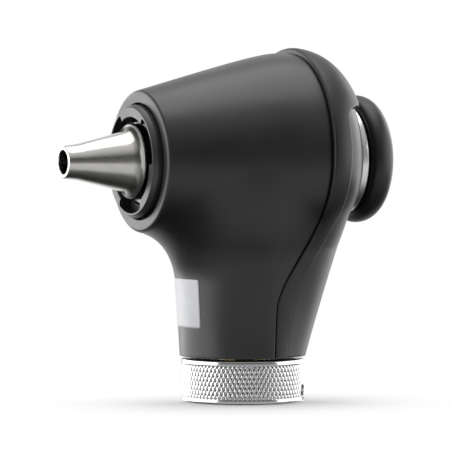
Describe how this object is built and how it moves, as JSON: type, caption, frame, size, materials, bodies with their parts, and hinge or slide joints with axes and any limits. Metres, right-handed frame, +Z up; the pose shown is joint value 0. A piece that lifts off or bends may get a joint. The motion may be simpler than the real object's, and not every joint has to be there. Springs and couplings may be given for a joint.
{
  "type": "otoscope head",
  "caption": "Otoscope head with a hollow metal nose cone, tapered two-part housing, rubber bumper, focusing eyepiece and knurled handle collar.",
  "frame": {"origin": "on the surface that the collar stands on, under the middle of the head's length and width", "axes": "+Z up along the handle's axis, -Y along the optical axis towards the nose cone, +X to the head's left-hand side as its user looks in"},
  "size_m": [0.0524, 0.079, 0.0821],
  "materials": {
    "housing_front": "satin black moulded plastic",
    "housing_rear": "satin black moulded plastic",
    "bumper_rubber": "matt black moulded rubber",
    "brushed_cone": "turned and brushed steel with a bright lip",
    "bare_steel": "plain machined steel",
    "ring_black": "satin black moulded plastic",
    "seal_rubber": "plain black rubber",
    "barrel_black": "black anodised",
    "clear_glass": "polished and coated",
    "fibre_white": "translucent white",
    "frame_black": "glass-filled black plastic",
    "focus_metal": "satin turned aluminium",
    "eyecup_rubber": "soft matt black rubber",
    "collar_metal": "bright plated metal with a diamond knurl between smooth bands",
    "screw_black": "black oxide",
    "lamp_brass": "plain turned brass",
    "lamp_silver": "plain turned metal",
    "lamp_white": "white insulating plastic"
  },
  "bodies": {
    "housing": {"front_shell": "housing_front", "rear_cover": "housing_rear", "rubber_bumper": "bumper_rubber", "nose_cone": "brushed_cone", "nose_plate": "barrel_black", "grip_spring": "bare_steel", "nose_seal": "seal_rubber", "lens_barrel": "barrel_black", "front_window": "clear_glass", "objective_lens": "clear_glass", "field_stop": "barrel_black", "relay_lens": "clear_glass", "fibre_ring": "fibre_white", "optics_frame": "frame_black", "eyepiece_tube": "barrel_black", "eye_lens": "clear_glass", "eyepiece_retainer": "barrel_black", "eyecup": "eyecup_rubber", "knurled_collar": "collar_metal", "collar_set_screw": "screw_black", "bayonet_ring": "bare_steel", "neck_sleeve": "barrel_black", "lamp_sleeve": "lamp_brass", "light_guide": "fibre_white", "insufflation_port": "focus_metal", "port_seal": "seal_rubber", "air_tube": "fibre_white"},
    "grip": {"tip_grip_ring": "ring_black"},
    "focus_wheel": {"focus_ring": "focus_metal"},
    "focus_carriage": {"focus_cell": "focus_metal", "focus_lens": "clear_glass", "focus_pin": "bare_steel"},
    "lamp": {"lamp_base": "lamp_silver", "lamp_bulb": "clear_glass", "lamp_insulator": "lamp_white", "lamp_contact": "lamp_brass"}
  },
  "joints": [
    {"name": "grip_turn", "type": "hinge", "parent": "housing", "child": "grip", "pos_m": [0, -0.0203, 0.0561], "axis": [0, 1, 0], "range_deg": [0, 28], "stiffness_Nm_per_rad": 0.02},
    {"name": "focus_turn", "type": "hinge", "parent": "housing", "child": "focus_wheel", "pos_m": [0, 0.0292, 0.0561], "axis": [0, 1, 0], "range_deg": [-40, 40]},
    {"name": "focus_lens_slide", "type": "slide", "parent": "housing", "child": "focus_carriage", "axis": [0, 1, 0], "range_m": [-0.0012, 0.0012]},
    {"name": "lamp_pull", "type": "slide", "parent": "housing", "child": "lamp", "axis": [0, 0, -1], "range_m": [0, 0.026]}
  ],
  "couplings": [
    {"joint": "focus_lens_slide", "follows": "focus_turn", "m_per_rad": 0.0017189}
  ]
}
